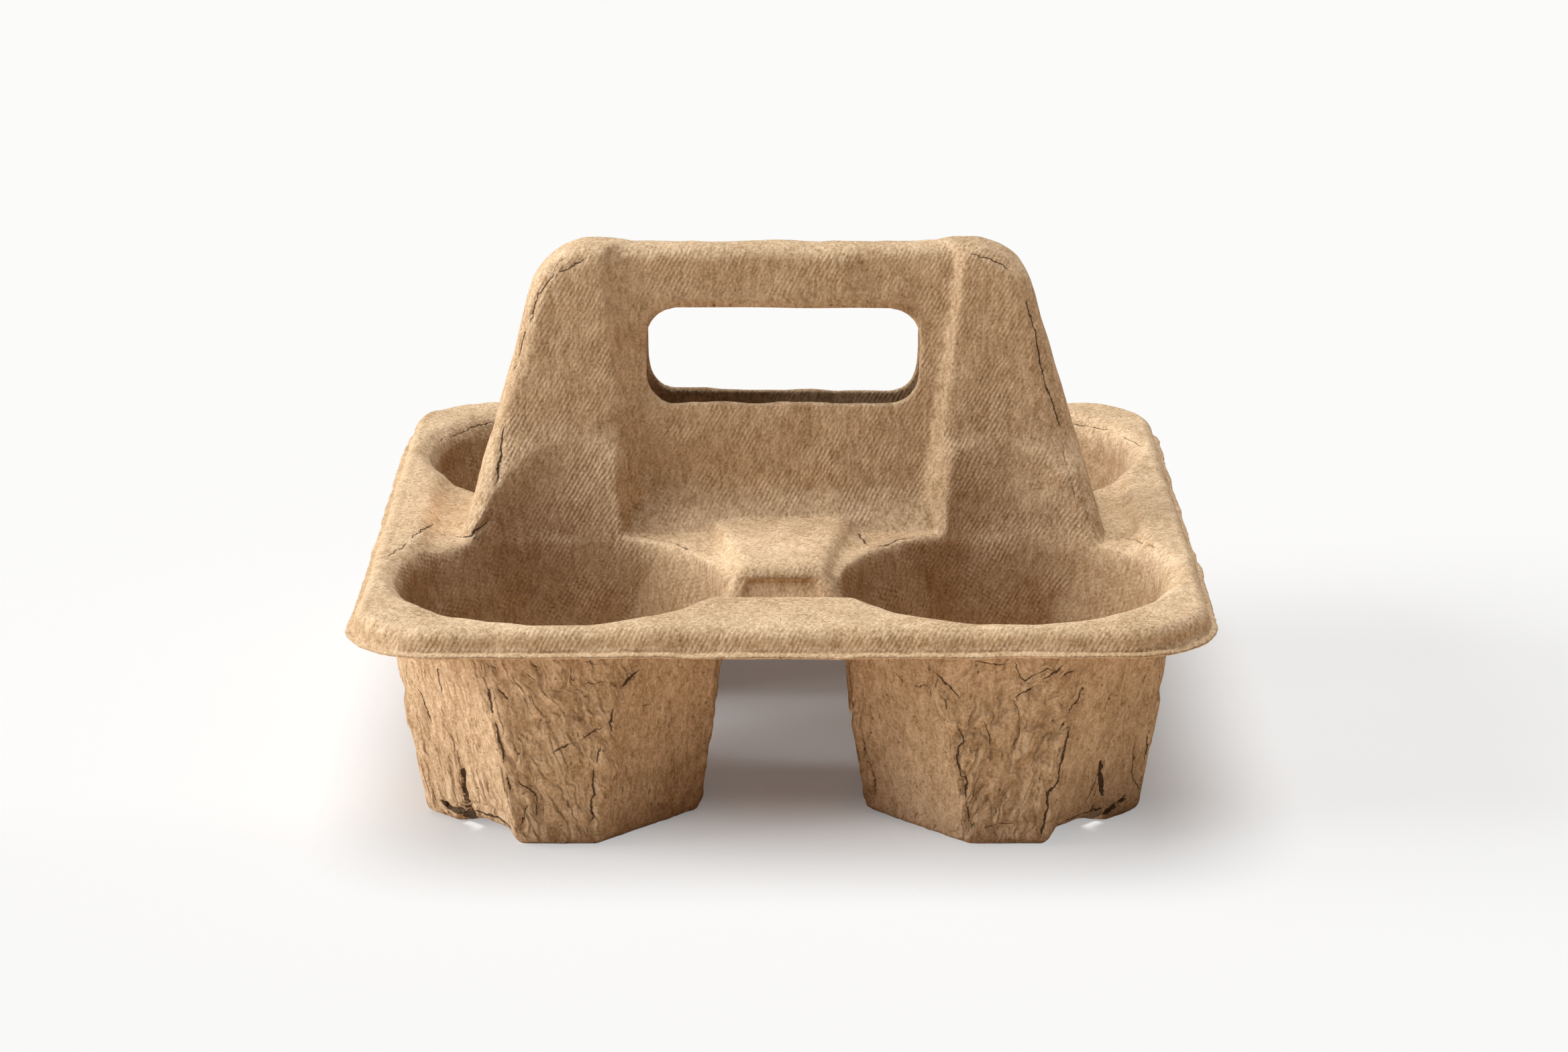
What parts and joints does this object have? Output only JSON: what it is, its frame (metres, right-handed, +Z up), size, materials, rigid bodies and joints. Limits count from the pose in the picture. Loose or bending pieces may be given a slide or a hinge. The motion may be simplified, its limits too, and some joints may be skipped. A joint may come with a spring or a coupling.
{
  "type": "cup carrier",
  "caption": "One-piece moulded pulp cup carrier: square deck with flared cup wells on faceted feet and a hollow upright handle with a finger slot.",
  "frame": {"origin": "middle of the wells, on the plane the feet stand on", "axes": "+Z up, +X to the right along the handle, -Y to the front"},
  "size_m": [0.215, 0.215, 0.134],
  "materials": {
    "moulded_pulp": "matt brown recycled pulp, rough and fibrous outside, fine screen marks on the upper face"
  },
  "bodies": {
    "root": {"cup_carrier": "moulded_pulp"}
  },
  "joints": []
}
